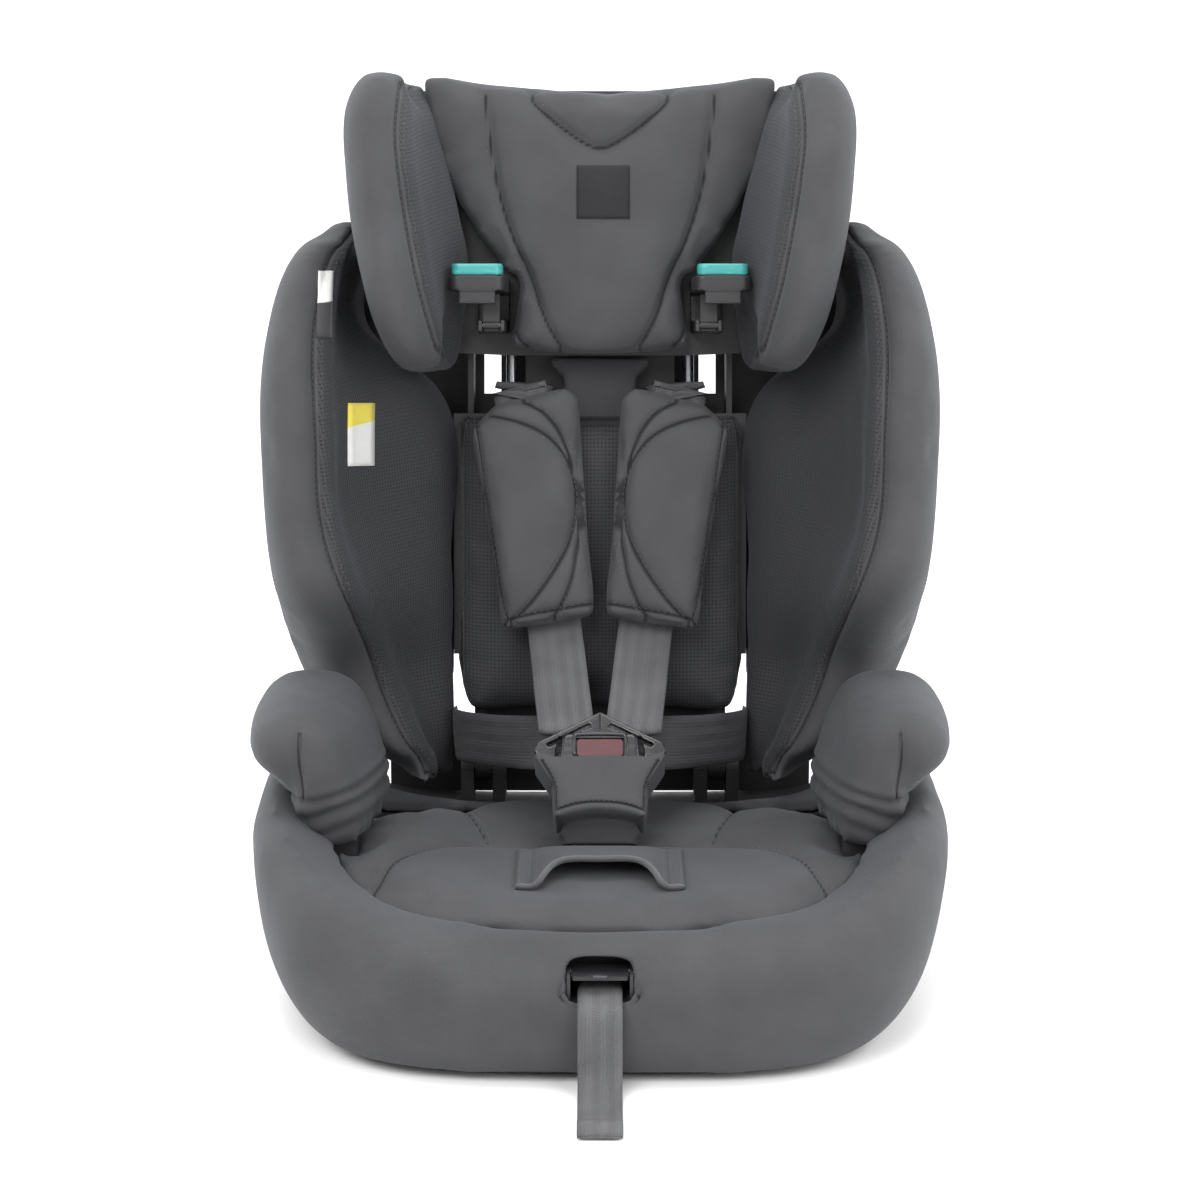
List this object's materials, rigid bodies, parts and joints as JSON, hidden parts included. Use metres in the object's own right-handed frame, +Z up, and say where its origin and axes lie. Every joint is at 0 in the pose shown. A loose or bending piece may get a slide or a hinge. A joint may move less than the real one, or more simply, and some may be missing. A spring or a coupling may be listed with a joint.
{
  "type": "child car seat",
  "caption": "Forward-facing child car seat with booster base, armrests, winged backrest, height-adjustable headrest and a five-point harness.",
  "frame": {"origin": "on the floor, under the middle of the base's width, on the middle cross rib", "axes": "+Z up, -Y the way the child faces, +X to the right of someone looking at the seat's front"},
  "size_m": [0.4612, 0.547, 0.5895],
  "materials": {
    "cover_fabric": "matte",
    "mesh_fabric": "matte",
    "webbing": "satin",
    "black_plastic": "matte",
    "teal_plastic": "satin",
    "red_plastic": "satin",
    "green_plastic": "satin",
    "tongue_metal": "satin",
    "steel": "satin"
  },
  "bodies": {
    "base": {"base_shell": "black_plastic", "base_skirt": "black_plastic", "base_ribs": "black_plastic", "base_cover": "cover_fabric", "seat_cushion": "mesh_fabric", "armrest_pad_left": "cover_fabric", "armrest_pad_right": "cover_fabric", "hinge_pins": "steel", "adjuster_housing": "black_plastic", "adjuster_pin": "steel", "adjuster_strap": "webbing", "buckle_front": "black_plastic", "buckle_rear": "black_plastic", "buckle_latch": "steel", "buckle_screws": "steel", "buckle_cover": "cover_fabric", "crotch_strap": "webbing", "crotch_anchor": "steel", "lap_strap_left": "webbing", "lap_strap_right": "webbing", "isofix_guides": "black_plastic"},
    "adjuster_lever": {"adjuster_lever": "black_plastic"},
    "buckle_button": {"buckle_button": "red_plastic"},
    "tongue_left": {"tongue_left": "tongue_metal"},
    "tongue_right": {"tongue_right": "tongue_metal"},
    "backrest": {"back_shell": "black_plastic", "wing_pad_left": "cover_fabric", "wing_pad_right": "cover_fabric", "back_pad": "mesh_fabric", "headrest_rail_left": "steel", "headrest_rail_right": "steel", "height_rack": "steel", "rack_screws": "steel", "harness_yoke": "steel", "shoulder_strap_left": "webbing", "shoulder_strap_right": "webbing", "shoulder_pad_left": "cover_fabric", "shoulder_pad_right": "cover_fabric"},
    "headrest": {"headrest_shell": "black_plastic", "head_wing_left": "cover_fabric", "head_wing_right": "cover_fabric", "head_pad": "cover_fabric", "headrest_lever_pin": "steel", "belt_guide_left": "black_plastic", "belt_guide_right": "black_plastic", "belt_guide_insert_left": "teal_plastic", "belt_guide_insert_right": "teal_plastic", "belt_gate_pins": "steel"},
    "headrest_lever": {"headrest_lever": "black_plastic"},
    "lock_bar": {"lock_bar": "steel"},
    "belt_gate_left": {"belt_gate_left": "black_plastic"},
    "belt_gate_right": {"belt_gate_right": "black_plastic"},
    "isofix": {"isofix_frame": "steel", "isofix_head_left": "black_plastic", "isofix_head_right": "black_plastic", "isofix_hook_pins": "steel"},
    "isofix_hook_left": {"isofix_hook_left": "steel"},
    "isofix_hook_right": {"isofix_hook_right": "steel"},
    "isofix_button_left": {"isofix_button_left": "green_plastic"},
    "isofix_button_right": {"isofix_button_right": "green_plastic"}
  },
  "joints": [
    {"name": "backrest_recline", "type": "hinge", "parent": "base", "child": "backrest", "pos_m": [0, 0.145, 0.095], "axis": [-1, 0, 0], "range_deg": [0, 18]},
    {"name": "headrest_height", "type": "slide", "parent": "backrest", "child": "headrest", "axis": [0, 0.1736, 0.9848], "range_m": [0, 0.15]},
    {"name": "headrest_release", "type": "hinge", "parent": "headrest", "child": "headrest_lever", "pos_m": [0, 0.18242, 0.54331], "axis": [1, 0, 0], "range_deg": [0, 20], "stiffness_Nm_per_rad": 0.4, "springref_deg": -11.46},
    {"name": "headrest_lock", "type": "slide", "parent": "headrest", "child": "lock_bar", "axis": [0, -0.9848, 0.1736], "range_m": [0, 0.0072]},
    {"name": "belt_gate_left_swing", "type": "hinge", "parent": "headrest", "child": "belt_gate_left", "pos_m": [-0.073, 0.09302, 0.41641], "axis": [-1, 0, 0], "range_deg": [0, 28], "stiffness_Nm_per_rad": 0.02, "springref_deg": -17.19},
    {"name": "belt_gate_right_swing", "type": "hinge", "parent": "headrest", "child": "belt_gate_right", "pos_m": [0.073, 0.09302, 0.41641], "axis": [-1, 0, 0], "range_deg": [0, 28], "stiffness_Nm_per_rad": 0.02, "springref_deg": -17.19},
    {"name": "buckle_press", "type": "slide", "parent": "base", "child": "buckle_button", "axis": [0, 0.766, -0.6428], "range_m": [0, 0.004], "stiffness_N_per_m": 1500, "springref_m": -0.002},
    {"name": "tongue_left_out", "type": "slide", "parent": "base", "child": "tongue_left", "axis": [0, 0.6428, 0.766], "range_m": [0, 0.025]},
    {"name": "tongue_right_out", "type": "slide", "parent": "base", "child": "tongue_right", "axis": [0, 0.6428, 0.766], "range_m": [0, 0.025]},
    {"name": "adjuster_press", "type": "hinge", "parent": "base", "child": "adjuster_lever", "pos_m": [0, -0.2, 0.0645], "axis": [-1, 0, 0], "range_deg": [0, 10], "stiffness_Nm_per_rad": 0.3, "springref_deg": -11.46},
    {"name": "isofix_extend", "type": "slide", "parent": "base", "child": "isofix", "axis": [0, 1, 0], "range_m": [0, 0.09]},
    {"name": "isofix_button_left_pull", "type": "slide", "parent": "isofix", "child": "isofix_button_left", "axis": [0, -1, 0], "range_m": [0, 0.006], "stiffness_N_per_m": 600, "springref_m": -0.002},
    {"name": "isofix_hook_left_lift", "type": "hinge", "parent": "isofix", "child": "isofix_hook_left", "pos_m": [-0.14, 0.196, 0.043], "axis": [1, 0, 0], "range_deg": [0, 14]},
    {"name": "isofix_button_right_pull", "type": "slide", "parent": "isofix", "child": "isofix_button_right", "axis": [0, -1, 0], "range_m": [0, 0.006], "stiffness_N_per_m": 600, "springref_m": -0.002},
    {"name": "isofix_hook_right_lift", "type": "hinge", "parent": "isofix", "child": "isofix_hook_right", "pos_m": [0.14, 0.196, 0.043], "axis": [1, 0, 0], "range_deg": [0, 14]}
  ],
  "couplings": [
    {"joint": "headrest_lock", "follows": "headrest_release", "m_per_rad": 0.02},
    {"joint": "isofix_hook_left_lift", "follows": "isofix_button_left_pull", "rad_per_m": 40},
    {"joint": "isofix_hook_right_lift", "follows": "isofix_button_right_pull", "rad_per_m": 40}
  ]
}
